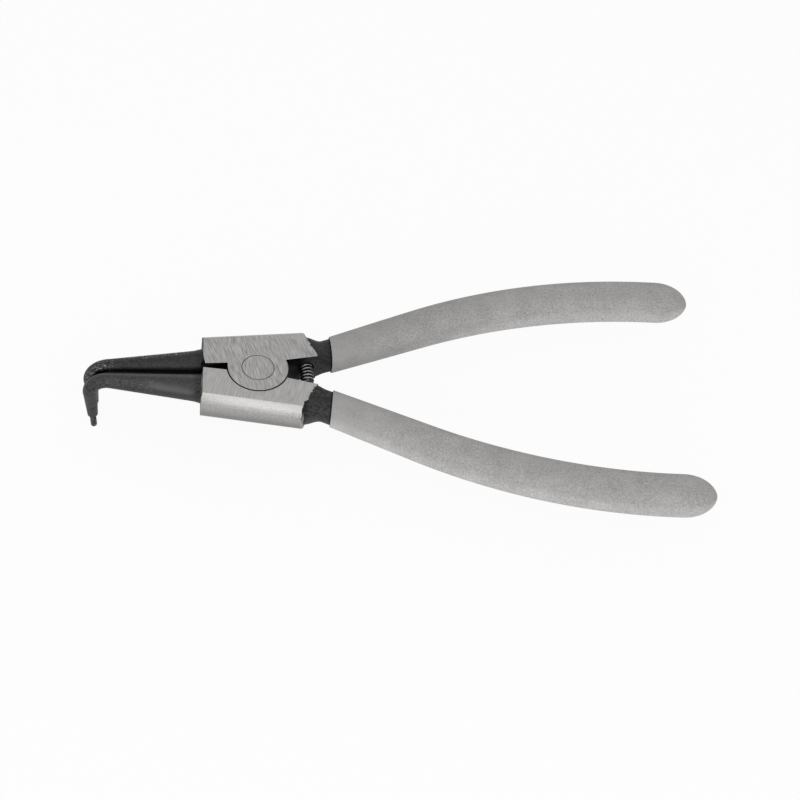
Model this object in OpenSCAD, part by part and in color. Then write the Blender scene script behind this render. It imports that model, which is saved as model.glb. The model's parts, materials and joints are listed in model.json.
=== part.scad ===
// Circlip pliers for outside rings, with both tips bent down at a right angle.
// Millimetres. The pivot axis is Z and the handles run towards +X, the upper lever on +Y.
// The ground front face of the joint lies in the plane Z = 0, and the tips point down.

/* [Joint] */
// Thickness of the joint across its two ground faces
head_t = 9; // [8.4:0.1:11]
// Distance from the pivot to the front edge of the ground face
head_front = 14.65; // [13:0.05:18]
// Distance from the pivot to the rear edge of the ground face, along the handle
head_rear = 16.7; // [16.2:0.1:18]
// Width of one half's ground face at its front edge, from the middle line
face_front_w = 9.55; // [9.2:0.05:12]
// Angle by which each outer side splays out towards the handle
side_taper = 7; // [3:0.5:10]
// How far the rounded outer side stands out past the edge of the ground face
side_bulge = 2.65; // [1:0.05:4]
// How far the forged front end stands out past the ground face
nose_l = 0.35; // [0.2:0.05:1.5]
// Height of the slope between the ground face and the forged front end
nose_h = 1.2; // [0.5:0.1:2]
// Radius of the round boss that one half laps over the other
boss_r = 8.1; // [7.2:0.1:8.8]
// Clearance round the boss in the recess of the other half
boss_clear = 0.25; // [0.1:0.05:0.5]
// Gap between the two lapped faces
lap_gap = 0.06; // [0.04:0.01:0.2]
// Gap between the two halves at the front end of the joint
front_gap = 1.3; // [0.6:0.1:2]
// Gap between the two halves where the front gap meets the boss
front_gap_in = 2.5; // [1.5:0.1:3]
// Gap between the two halves where the rear gap meets the boss
rear_gap = 6.3; // [5.5:0.1:7.4]
// Angle of each wall of the rear gap to the middle line
rear_wall_angle = 12; // [9:0.5:15]

/* [Rivet] */
// Diameter of the rivet's shank
rivet_d = 6; // [4:0.1:7]
// Diameter of the rivet's countersunk heads at the ground faces
rivet_head_d = 8.6; // [7.6:0.1:10]
// Depth of each countersunk head
rivet_head_h = 1.4; // [0.8:0.1:2]
// Running clearance of the upper lever on the rivet
rivet_clear = 0.05; // [0.02:0.01:0.1]

/* [Jaws] */
// Distance from the pivot to the front of the bent tips
tip_reach = 46.4; // [40:0.1:60]
// Diameter of a jaw where it leaves the joint
jaw_root_d = 7.5; // [6.4:0.1:8]
// Diameter of a jaw at the bend
jaw_bend_d = 4; // [3.6:0.1:5]
// How far the forged fillet at the root widens the jaw's radius
jaw_flare = 0.3; // [0.1:0.1:0.8]
// Length of the forged fillet at the root
jaw_flare_l = 2.2; // [1:0.1:4]
// Gap between the two bent legs, with the tips closed
jaw_gap = 0.3; // [0.2:0.05:0.8]
// How far a jaw falls from the joint to its bend
jaw_drop = 0.5; // [0:0.1:1.5]
// Radius of the bend at the middle of the jaw
bend_r = 5; // [3:0.1:6]
// Angle through which the jaw is bent
bend_angle = 94; // [85:1:100]
// Length of the tapered leg from the bend to its shoulder
leg_l = 9; // [7.5:0.1:16]
// Diameter of the leg at its shoulder
leg_end_d = 2.85; // [2.5:0.05:3.4]
// Rounding of the shoulder at the end of the leg
leg_round = 0.4; // [0.1:0.05:0.5]

/* [Tip pins] */
// Diameter of the pin that enters the hole of the ring
pin_d = 1.7; // [1.65:0.05:1.9]
// Length of the pin beyond the shoulder of the leg
pin_l = 4.4; // [2.5:0.1:6]
// Rounding of the pin's end
pin_round = 0.5; // [0.2:0.05:0.7]
// Diameter of the pin's root, pressed into the leg
pin_root_d = 1.1; // [0.9:0.05:1.3]
// Length of the pin's root
pin_root_l = 4.5; // [3:0.1:7]

/* [Handles] */
// Angle of each handle to the middle line near the joint
handle_angle = 24.2; // [20:0.2:28]
// Offset of the handle's middle from the pivot
handle_offset = 0.6; // [0:0.1:1.2]
// Length of the straight part of the handle, from the pivot
handle_straight = 48.7; // [40:0.5:60]
// Radius of the bow in the rest of the handle
handle_bow_r = 163; // [140:1:220]
// Length of the handle from the pivot to the end of its grip
handle_l = 128.2; // [110:0.2:140]
// Length of the neck over which the joint narrows to the tang
neck_l = 4.2; // [3:0.1:6]
// Width of the tang
tang_w = 8.9; // [8:0.1:10]
// Thickness of the tang
tang_t = 6.8; // [6:0.1:8]
// Length of the grip that reaches past the end of the tang
tang_short = 5; // [3.5:0.1:8]

/* [Grips] */
// Distance from the pivot to the rim of the grips, along the middle line
grip_rim = 19.8; // [18.6:0.1:24]
// Angle of the rim's plane to a plane square to the middle line
rim_lean = 5; // [0:1:10]
// Thickness of the grip's skin at its rim
rim_skin = 0.45; // [0.3:0.05:0.8]
// Thickness of the grip's skin at the sides of the handle
side_skin = 1.4; // [0.6:0.05:1.8]
// Thickness of the grip's skin on the front and back of the handle
face_skin = 1.25; // [0.5:0.05:1.6]
// Length over which the skin thickens behind the rim
skin_run = 85; // [40:1:100]
// Length of the grip's tapered nose
nose_run = 9; // [6:0.5:12]
// Clearance between the tang and the grip
grip_clear = 0.04; // [0.02:0.01:0.1]

/* [Spring] */
// Distance from the pivot to the middle of the spring's seats
spring_at = 13.3; // [12.8:0.1:13.6]
// Outer diameter of the spring
spring_d = 3.7; // [3:0.1:4]
// Diameter of the spring's wire
wire_d = 0.65; // [0.4:0.05:0.7]
// Number of coils, the closed ends included
coils = 12; // [9:1:13]
// Clearance of the spring in its seats, all round
seat_clear = 0.3; // [0.2:0.05:0.4]
// Depth of the blind seat in each lever
seat_depth = 2.4; // [1.5:0.1:4]

/* [Hidden] */
$fn = 72;

// Colours of the black forging, bright steel, spring wire and dipped grips
black_steel = [0.24, 0.24, 0.25];
bright_steel = [0.66, 0.66, 0.65];
wire_steel = [0.42, 0.42, 0.42];
grip_grey = [0.66, 0.67, 0.68];

// Reach of cutting tools past the metal, and of joined metal into its neighbour
past = 1;
half_t = head_t / 2;
// Longest part of the model, for cuts that run right through
whole = 2 * (handle_l + tip_reach);

// Unit vectors along and across a heading in the plane of the pliers
function along(a) = [cos(a), sin(a)];
function across(a) = [-sin(a), cos(a)];
// Straight and eased steps between two values
function mix(a, b, u) = a + (b - a) * u;
function ease(u) = let (v = min(max(u, 0), 1)) v * v * (3 - 2 * v);
// Point on a line through p with heading a, where it crosses the rear end of the joint
function at_rear(p, a) =
    p + along(a) * (head_rear - p * along(handle_angle)) / cos(handle_angle - a);

// Outline of the ground face of one half, seen from the front
front_x = -(head_front + nose_l);
side_front = [-head_front, face_front_w];
side_nose = side_front - [nose_l, nose_l * tan(side_taper)];
side_rear = at_rear(side_front, side_taper);
wall_start = [sqrt(boss_r * boss_r - rear_gap * rear_gap / 4), rear_gap / 2];
wall_rear = at_rear(wall_start, rear_wall_angle);
// Radius of the arc across the rounded outer side
side_r = (half_t * half_t + side_bulge * side_bulge) / (2 * side_bulge);
side_l = norm(side_rear - side_nose) + 2 * past;
// Slope of the wall of the front gap in plan
front_slope = (front_gap_in - front_gap) / 2 / (-boss_r - front_x);

// Jaw: its axis in plan, from the joint over the bend to the top of the leg
jaw_root = [-head_front, (front_gap + jaw_root_d) / 2];
leg_top = [-(tip_reach - jaw_bend_d / 2), (jaw_gap + jaw_bend_d) / 2];
jaw_heading = atan2(leg_top[1] - jaw_root[1], leg_top[0] - jaw_root[0]);
jaw_bend = leg_top - bend_r * along(jaw_heading);
jaw_l = norm(concat(jaw_bend - jaw_root, jaw_drop));
jaw_fall = asin(jaw_drop / jaw_l);
// Fine step from the bend down to the leg, and how far the leg reaches into the bend
leg_step = 0.03;
leg_lap = 0.2;

// Neck: its section inside the joint, as distances from the handle's middle
neck_from = head_rear - past;
neck_inner = wall_rear * across(handle_angle) - handle_offset + lap_gap;
neck_outer = side_rear * across(handle_angle) - handle_offset + side_bulge / 2;
neck_half_t = half_t - lap_gap;
neck_to = head_rear + neck_l;
tang_l = handle_l - tang_short;
tang_round = 2;
// Where the rim's plane crosses the handle's middle
rim_at = (grip_rim + handle_offset * sin(handle_angle)) / cos(handle_angle);
cavity_l = tang_l + grip_clear;
// Length over which the ends of the sections turn from the rim's plane square to the handle
rim_turn = 24;

// Section of a handle: sides of each ring, and how round its corners are (1 makes an ellipse, 0 a box)
ring_sides = 28;
ring_corner = 0.8;
// The same on the inner side of the neck, where it leaves the wall of the rear gap
neck_corner = 0.16;
// How late the neck swells from that wall to the tang
swell_power = 1.9;
// Power of the grip's nose, a little sharper than an ellipse
nose_power = 1.1;
nose_angles = [0, 14, 28, 41, 53, 64, 74, 82, 88];

// Spring: its middle line is an arc between the two seats
seat_mouth = wall_start + along(rear_wall_angle) * (spring_at - wall_start[0]) / cos(rear_wall_angle);
seat_floor = seat_mouth + across(rear_wall_angle) * seat_depth;
arc_r = seat_floor[1] / sin(rear_wall_angle);
arc_x = seat_floor[0] - arc_r * cos(rear_wall_angle);
seat_play = 0.03;
coil_r = (spring_d - wire_d) / 2;
spring_l = 2 * arc_r * rear_wall_angle * PI / 180 - wire_d - 2 * seat_play;
closed_pitch = wire_d * 1.06;
open_pitch = (spring_l - 2 * closed_pitch) / (coils - 2);
coil_steps = 12;
wire_sides = 8;

// Heading and place of the handle's middle line at a length s from the pivot
function handle_turn(s) = max(0, s - handle_straight) / handle_bow_r * 180 / PI;
function handle_heading(s) = handle_angle - handle_turn(s);
function handle_point(s) =
    let (turn = handle_turn(s))
    (min(s, handle_straight) + handle_bow_r * sin(turn)) * along(handle_angle)
        + (handle_offset - handle_bow_r * (1 - cos(turn))) * across(handle_angle);

// Sections as [inner edge, outer edge, half thickness] about the handle's middle
// The inner side of the neck carries on the wall of the rear gap, and then swells to the tang
function neck_run(s) = ease((s - head_rear) / neck_l);
function tang_section(s) =
    let (
        u = ease((s - neck_from) / (neck_to - neck_from)),
        wall = neck_inner + (head_rear - s) * tan(handle_angle - rear_wall_angle)
    )
    [
        mix(wall, -tang_w / 2, pow(neck_run(s), swell_power)),
        mix(neck_outer, tang_w / 2, u),
        mix(neck_half_t, tang_t / 2, neck_run(s))
    ];
function grown(section, side, face) = [section[0] - side, section[1] + side, section[2] + face];
function grip_section(s) =
    let (left = 1 - min(max((s - rim_at) / skin_run, 0), 1), u = 1 - left * left)
    grown(tang_section(max(s, neck_to)), mix(rim_skin, side_skin, u), mix(rim_skin, face_skin, u));
function scaled(section, f) =
    let (mid = (section[0] + section[1]) / 2)
    [mid + (section[0] - mid) * f, mid + (section[1] - mid) * f, section[2] * f];
// Slant of a section's plane near the rim, which is nearly square to the middle line of the pliers
function rim_slant(s) = tan(handle_angle - rim_lean) * (1 - ease((s - rim_at) / rim_turn));

// Rounded outline of a section, and the same as a ring of points round the handle
function rounded(x, corner) = sign(x) * pow(abs(x), corner);
function ring(s, section, slant = 0, inner_corner = ring_corner) = [
    for (i = [0:ring_sides - 1])
        let (
            a = 360 * i / ring_sides,
            corner = cos(a) < 0 ? inner_corner : ring_corner,
            mid = (section[0] + section[1]) / 2,
            out = mid + (section[1] - mid) * rounded(cos(a), corner),
            at = s + slant * out
        )
        concat(handle_point(at) + out * across(handle_heading(at)), section[2] * rounded(sin(a), corner))
];

// Lengths from the pivot at which the handle's sections are drawn
function spaced(from, to, steps) = [for (i = [0:steps]) mix(from, to, i / steps)];
neck_lengths = spaced(neck_from, neck_to, 9);
shaft_lengths = spaced(handle_straight, tang_l - tang_round, 9);

function tang_rings() = concat(
    [for (s = neck_lengths)
        ring(s, tang_section(s), inner_corner = mix(neck_corner, ring_corner, neck_run(s)))],
    [for (s = shaft_lengths) ring(s, tang_section(s))],
    [for (a = [40, 75])
        ring(tang_l - tang_round * (1 - sin(a)), scaled(tang_section(tang_l), mix(0.5, 1, cos(a))))]
);

function cavity_rings() = concat(
    [for (s = [rim_at, rim_at + rim_turn / 2, rim_at + rim_turn])
        ring(s, grown(tang_section(max(s, neck_to)), grip_clear, grip_clear), rim_slant(s))],
    [for (s = shaft_lengths) ring(s, grown(tang_section(s), grip_clear, grip_clear))],
    [ring(cavity_l, grown(tang_section(tang_l), grip_clear, grip_clear))]
);

function skin_rings() =
    let (nose_from = handle_l - nose_run)
    concat(
        [for (u = [0, 0.02, 0.06, 0.15, 0.3, 0.5, 0.75, 1])
            let (s = rim_at + rim_turn * u) ring(s, grip_section(s), rim_slant(s))],
        [for (s = spaced(handle_straight, nose_from, 9)) ring(s, grip_section(s))],
        [for (a = nose_angles)
            if (a > 0)
                let (s = nose_from + nose_run * sin(a))
                ring(s, scaled(grip_section(s), pow(cos(a), nose_power)))]
    );

// Rings of the spring's wire, from the upper seat to the lower one
function wire_along(turn) =
    turn <= 1 ? turn * closed_pitch
    : turn >= coils - 1 ? spring_l - (coils - turn) * closed_pitch
    : closed_pitch + (turn - 1) * open_pitch;
function wire_rings() = [
    for (k = [0:coils * coil_steps])
        let (
            turn = k / coil_steps,
            done = seat_play + wire_d / 2 + wire_along(turn),
            a = rear_wall_angle - done / arc_r * 180 / PI,
            out = concat(along(a), 0),
            up = [0, 0, 1],
            coil = cos(360 * turn) * out + sin(360 * turn) * up,
            middle = [arc_x, 0, 0] + arc_r * out + coil_r * coil
        )
        [for (i = [0:wire_sides - 1])
            let (b = 360 * i / wire_sides)
            middle + wire_d / 2 * (cos(b) * coil + sin(b) * concat(across(a), 0))]
];

function reversed(list) = [for (i = [len(list) - 1:-1:0]) list[i]];

// Closed skin through a row of rings, capped at its two ends
module loft(rings) {
    n = len(rings[0]);
    last = len(rings) - 1;
    points = [for (r = rings) for (p = r) p];
    sides = [
        for (r = [0:last - 1])
            for (i = [0:n - 1])
                let (j = (i + 1) % n)
                each [
                    [r * n + i, (r + 1) * n + i, (r + 1) * n + j],
                    [r * n + i, (r + 1) * n + j, r * n + j]
                ]
    ];
    caps = [[for (i = [0:n - 1]) i], [for (i = [n - 1:-1:0]) last * n + i]];
    polyhedron(points, concat(sides, caps));
}

// Puts a half drawn as the upper one on its side, with the ground front face at Z = 0
module on_side(side) {
    translate([0, 0, -half_t])
        mirror([0, side < 0 ? 1 : 0, 0])
            children();
}

// The rivet's outline, grown by a clearance, and carried past the ground faces for a cut
module rivet_form(grow = 0, reach = 0) {
    head = rivet_head_d / 2 + grow;
    shank = rivet_d / 2 + grow;
    step = half_t - rivet_head_h;
    rotate_extrude()
        polygon([
            [0, -half_t - reach], [head, -half_t - reach], [head, -half_t], [shank, -step],
            [shank, step], [head, half_t], [head, half_t + reach], [0, half_t + reach]
        ]);
}

// Block of one half of the joint, before the lap and the rivet are cut
module head_block() {
    nose_z = half_t - nose_h;
    inset = past * across(side_taper);
    overrun = past * along(side_taper);
    intersection() {
        union() {
            translate([0, 0, -half_t - past])
                linear_extrude(head_t + 2 * past) {
                    polygon([
                        [front_x - past, front_gap / 2 - past * front_slope],
                        [-boss_r, front_gap_in / 2], [-boss_r, 0], [boss_r, 0], wall_start,
                        wall_rear + past * along(rear_wall_angle),
                        side_rear + overrun - inset, side_nose - overrun - inset
                    ]);
                    circle(boss_r);
                }
            translate(side_nose)
                rotate([0, 0, side_taper])
                    translate([-past, side_bulge - side_r, 0])
                        rotate([0, 90, 0])
                            cylinder(r = side_r, h = side_l);
        }
        rotate([90, 0, 0])
            linear_extrude(whole, center = true)
                polygon([
                    [front_x, -nose_z], [-head_front, -half_t], [whole, -half_t],
                    [whole, half_t], [-head_front, half_t], [front_x, nose_z]
                ]);
        rotate([0, 0, handle_angle])
            translate([head_rear - whole, -whole / 2, -whole / 2])
                cube(whole);
    }
}

// Moves to the start of a jaw's bend, with X along the jaw towards the tip
module at_bend() {
    translate(concat(jaw_bend, -jaw_drop))
        rotate([0, jaw_fall, jaw_heading])
            children();
}

// Moves to the shoulder at the end of the bent leg, with Z out of the leg along the pin
module at_shoulder() {
    at_bend()
        translate([bend_r * sin(bend_angle), 0, bend_r * (cos(bend_angle) - 1)])
            rotate([0, 90 + bend_angle, 0])
                translate([0, 0, leg_l])
                    children();
}

// Tapered jaw, its bend and its leg with a rounded shoulder
module jaw() {
    root_r = jaw_root_d / 2;
    bend_end_r = jaw_bend_d / 2;
    end_r = leg_end_d / 2;
    straight = leg_l - leg_round;
    leg_start_r = bend_end_r - leg_step;
    lap_r = mix(leg_start_r, end_r, -leg_lap / straight);
    at_bend() {
        translate([-jaw_l, 0, 0])
            rotate([0, 90, 0]) {
                cylinder(h = jaw_l, r1 = root_r, r2 = bend_end_r);
                translate([0, 0, -past])
                    cylinder(h = past, r = root_r);
                cylinder(
                    h = jaw_flare_l,
                    r1 = root_r + jaw_flare,
                    r2 = mix(root_r, bend_end_r, jaw_flare_l / jaw_l)
                );
            }
        translate([0, 0, -bend_r])
            rotate([0, -90, -90])
                rotate_extrude(angle = bend_angle)
                    translate([bend_r, 0])
                        circle(bend_end_r);
    }
    at_shoulder()
        translate([0, 0, -leg_l]) {
            translate([0, 0, -leg_lap])
                cylinder(h = straight + leg_lap, r1 = lap_r, r2 = end_r);
            translate([0, 0, straight])
                rotate_extrude() {
                    square([end_r - leg_round, leg_round]);
                    translate([end_r - leg_round, 0])
                        intersection() {
                            circle(leg_round);
                            square(leg_round);
                        }
                }
        }
}

// Blind round seat for one end of the spring
module spring_seat() {
    translate(seat_mouth)
        rotate([-90, 0, rear_wall_angle])
            translate([0, 0, -past])
                cylinder(d = spring_d + 2 * seat_clear, h = seat_depth + past);
}

// One lever, drawn as the upper one, with its boss in the front layer or the back one
module lever(layer, clear) {
    difference() {
        union() {
            head_block();
            jaw();
            loft(tang_rings());
        }
        mirror([0, 0, layer < 0 ? 1 : 0])
            translate([0, 0, -half_t - past])
                cylinder(r = boss_r + boss_clear, h = half_t + past + lap_gap / 2);
        rivet_form(clear, past);
        spring_seat();
        at_shoulder()
            translate([0, 0, -pin_root_l])
                cylinder(d = pin_root_d, h = pin_root_l + past);
    }
}

// Pin with a rounded end, its root pressed into the leg
module tip_pin() {
    r = pin_d / 2;
    straight = pin_l - pin_round;
    at_shoulder() {
        translate([0, 0, -pin_root_l])
            cylinder(d = pin_root_d, h = pin_root_l);
        cylinder(r = r, h = straight);
        translate([0, 0, straight])
            rotate_extrude() {
                square([r - pin_round, pin_round]);
                translate([r - pin_round, 0])
                    intersection() {
                        circle(pin_round);
                        square(pin_round);
                    }
            }
    }
}

// Dipped grip: a skin round the tang, closed at its nose
module grip() {
    loft(concat(reversed(cavity_rings()), skin_rings()));
}

module upper_lever() { color(black_steel) on_side(1) lever(1, rivet_clear); }
module lower_lever() { color(black_steel) on_side(-1) lever(-1, 0); }
module pivot_rivet() { color(bright_steel) on_side(1) rivet_form(); }
module return_spring() { color(wire_steel) on_side(1) loft(wire_rings()); }
module upper_grip() { color(grip_grey) on_side(1) grip(); }
module lower_grip() { color(grip_grey) on_side(-1) grip(); }
module upper_tip_pin() { color(bright_steel) on_side(1) tip_pin(); }
module lower_tip_pin() { color(bright_steel) on_side(-1) tip_pin(); }

upper_lever();
lower_lever();
pivot_rivet();
return_spring();
upper_grip();
lower_grip();
upper_tip_pin();
lower_tip_pin();
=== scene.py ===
"""Looks of a pair of circlip pliers with bent tips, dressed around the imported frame."""

import json
import logging
import math
from dataclasses import dataclass
from enum import Enum
from functools import cached_property
from typing import Any, Mapping, Optional, Sequence, Union

import bmesh
import bpy
from mathutils import Matrix, Vector


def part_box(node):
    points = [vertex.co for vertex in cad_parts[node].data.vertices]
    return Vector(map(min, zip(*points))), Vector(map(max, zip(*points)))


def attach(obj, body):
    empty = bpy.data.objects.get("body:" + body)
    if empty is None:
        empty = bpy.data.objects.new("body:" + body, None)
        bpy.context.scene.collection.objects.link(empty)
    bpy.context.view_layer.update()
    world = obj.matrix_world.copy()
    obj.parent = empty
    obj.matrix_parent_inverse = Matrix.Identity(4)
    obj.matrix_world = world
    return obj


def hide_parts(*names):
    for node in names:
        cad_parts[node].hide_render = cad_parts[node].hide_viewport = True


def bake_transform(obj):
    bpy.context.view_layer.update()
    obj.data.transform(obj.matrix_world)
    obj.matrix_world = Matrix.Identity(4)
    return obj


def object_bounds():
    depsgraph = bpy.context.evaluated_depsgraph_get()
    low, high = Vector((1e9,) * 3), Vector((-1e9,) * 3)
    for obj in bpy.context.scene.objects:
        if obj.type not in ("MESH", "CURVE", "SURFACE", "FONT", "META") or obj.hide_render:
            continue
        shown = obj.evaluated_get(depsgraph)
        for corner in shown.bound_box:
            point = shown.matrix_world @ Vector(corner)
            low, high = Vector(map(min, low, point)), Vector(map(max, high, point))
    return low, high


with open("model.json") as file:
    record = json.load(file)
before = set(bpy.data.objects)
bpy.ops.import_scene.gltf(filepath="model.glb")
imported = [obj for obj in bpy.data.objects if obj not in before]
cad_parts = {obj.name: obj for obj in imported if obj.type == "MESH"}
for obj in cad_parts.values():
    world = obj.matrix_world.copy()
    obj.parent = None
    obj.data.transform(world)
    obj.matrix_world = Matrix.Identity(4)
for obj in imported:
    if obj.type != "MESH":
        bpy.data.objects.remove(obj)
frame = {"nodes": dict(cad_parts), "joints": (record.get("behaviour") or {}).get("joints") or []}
cad_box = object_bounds()

MM = 0.001

# Middle of the joint in metres, and its height and half the joint's thickness in millimetres.
PIVOT = Vector(frame["joints"][0]["pos_m"])
MIDDLE_Z = PIVOT.z / MM
RIVET_LOW, RIVET_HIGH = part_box("pivot_rivet")
HALF_T = (RIVET_HIGH.z - RIVET_LOW.z) / 2 / MM

# Limits up to which points are one point and faces one plane, and past which an edge is sharp.
SAME_POINT_MM = 0.002
SEAM_MM = 0.001
SAME_PLANE_DEG = 0.4
SHARP_DEG = 32.0
EDGE_SEGMENTS = 2

IMAGE_PX = 800
log = logging.getLogger("pliers")

Colour = tuple[float, float, float, float]
Span = tuple[float, float]


def grey(level: float, warmth: float = 0.0) -> Colour:
    """Gives a grey as a colour with a little warmth.

    Args:
        level: linear brightness from 0 to 1.
        warmth: share by which red rises above and blue falls below that level.

    Returns:
        The colour with full alpha.
    """
    return (level * (1 + warmth), level, level * (1 - warmth), 1.0)


class Side(Enum):
    """The two halves of the pliers."""

    UPPER = "upper"
    LOWER = "lower"

    @property
    def sign(self) -> int:
        """Direction of this half along Y."""
        return 1 if self is Side.UPPER else -1

    @property
    def body(self) -> str:
        """Name of the moving body of this half."""
        return f"{self.value}_half"

    def node(self, piece: str) -> str:
        """Name of this half's own frame node for a kind of piece."""
        return f"{self.value}_{piece}"


@dataclass(frozen=True)
class HandlePath:
    """Middle line of a handle in the plane of the pliers, in millimetres and degrees."""

    heading: float = 24.2
    offset: float = 0.6
    straight: float = 48.7
    bow_radius: float = 163.0


class Value:
    """A node's output that takes part in Python expressions."""

    def __init__(self, tree: "Tree", socket: bpy.types.NodeSocket) -> None:
        """Holds an output.

        Args:
            tree: the tree that the output belongs to.
            socket: the output socket.
        """
        self.tree = tree
        self.socket = socket

    def __add__(self, other: "Operand") -> "Value":
        """Adds."""
        return self.tree.math("ADD", self, other)

    def __radd__(self, other: "Operand") -> "Value":
        """Adds, from the right."""
        return self.tree.math("ADD", other, self)

    def __sub__(self, other: "Operand") -> "Value":
        """Subtracts."""
        return self.tree.math("SUBTRACT", self, other)

    def __rsub__(self, other: "Operand") -> "Value":
        """Subtracts this value from another."""
        return self.tree.math("SUBTRACT", other, self)

    def __mul__(self, other: "Operand") -> "Value":
        """Multiplies."""
        return self.tree.math("MULTIPLY", self, other)

    def __rmul__(self, other: "Operand") -> "Value":
        """Multiplies, from the right."""
        return self.tree.math("MULTIPLY", other, self)

    def __truediv__(self, other: "Operand") -> "Value":
        """Divides."""
        return self.tree.math("DIVIDE", self, other)

    def __pow__(self, other: "Operand") -> "Value":
        """Raises to a power."""
        return self.tree.math("POWER", self, other)

    def __abs__(self) -> "Value":
        """Takes away the sign."""
        return self.tree.math("ABSOLUTE", self)


Operand = Union[Value, float, int]


def between(start: float, end: float, share: Value) -> Value:
    """Goes from one number to another as a share goes from 0 to 1."""
    return start + (end - start) * share


class Tree:
    """Builds one node tree, of a material or of a shape."""

    def __init__(self, tree: bpy.types.NodeTree) -> None:
        """Takes a tree.

        Args:
            tree: the empty tree to fill.
        """
        self.tree = tree

    def node(
        self,
        kind: str,
        settings: Optional[Mapping[str, Any]] = None,
        inputs: Optional[Mapping[Union[str, int], Any]] = None,
    ) -> bpy.types.Node:
        """Adds a node.

        Args:
            kind: the node's type.
            settings: the node's own properties, set first.
            inputs: values or links of its sockets, by index, identifier or name.

        Returns:
            The new node.
        """
        made = self.tree.nodes.new(kind)
        for name, setting in (settings or {}).items():
            setattr(made, name, setting)
        for key, given in (inputs or {}).items():
            socket = self.socket(made.inputs, key)
            if isinstance(given, Value):
                self.tree.links.new(given.socket, socket)
            else:
                socket.default_value = given
        return made

    @staticmethod
    def socket(sockets: Sequence[bpy.types.NodeSocket], key: Union[str, int]) -> bpy.types.NodeSocket:
        """Finds a socket among a node's inputs or outputs by its index, identifier or name."""
        named = [socket for socket in sockets if socket.identifier == key]
        return named[0] if named else sockets[key]

    def value(
        self,
        kind: str,
        settings: Optional[Mapping[str, Any]] = None,
        inputs: Optional[Mapping[Union[str, int], Any]] = None,
        output: Union[str, int] = 0,
    ) -> Value:
        """Adds a node and gives one of its outputs.

        Args:
            kind: the node's type.
            settings: the node's own properties.
            inputs: values or links of its sockets.
            output: index or name of the output.

        Returns:
            The output as a value.
        """
        return Value(self, self.socket(self.node(kind, settings, inputs).outputs, output))

    def math(self, operation: str, *operands: Operand) -> Value:
        """Adds a Math node for an operation on values and numbers."""
        return self.value("ShaderNodeMath", {"operation": operation}, dict(enumerate(operands)))

    def sine(self, angle: Operand) -> Value:
        """Sine of an angle in radians."""
        return self.math("SINE", angle)

    def cosine(self, angle: Operand) -> Value:
        """Cosine of an angle in radians."""
        return self.math("COSINE", angle)

    def reach(self, x: Value, y: Value) -> Value:
        """Distance of a point from the origin of a plane."""
        return self.math("SQRT", x * x + y * y)

    def smallest(self, a: Operand, b: Operand) -> Value:
        """The smaller of two values."""
        return self.math("MINIMUM", a, b)

    def largest(self, a: Operand, b: Operand) -> Value:
        """The larger of two values."""
        return self.math("MAXIMUM", a, b)

    def step(self, given: Value, start: Operand, end: Operand, smooth: bool = True) -> Value:
        """Rises from 0 to 1 as a value goes from start to end, and stays there.

        Args:
            given: the value that is followed.
            start: where the rise begins.
            end: where it ends; a smaller end makes the rise run the other way.
            smooth: whether the rise is eased at both ends.

        Returns:
            The share of the way, from 0 to 1.
        """
        settings = {"interpolation_type": "SMOOTHSTEP" if smooth else "LINEAR", "clamp": True}
        inputs = {"Value": given, "From Min": start, "From Max": end}
        return self.value("ShaderNodeMapRange", settings, inputs)

    def axes(self, vector: Value) -> tuple[Value, Value, Value]:
        """Splits a vector into its three numbers."""
        parts = self.node("ShaderNodeSeparateXYZ", inputs={0: vector})
        return Value(self, parts.outputs[0]), Value(self, parts.outputs[1]), Value(self, parts.outputs[2])

    def vector(self, x: Operand, y: Operand, z: Operand) -> Value:
        """Joins three numbers into a vector."""
        return self.value("ShaderNodeCombineXYZ", inputs={0: x, 1: y, 2: z})


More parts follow.
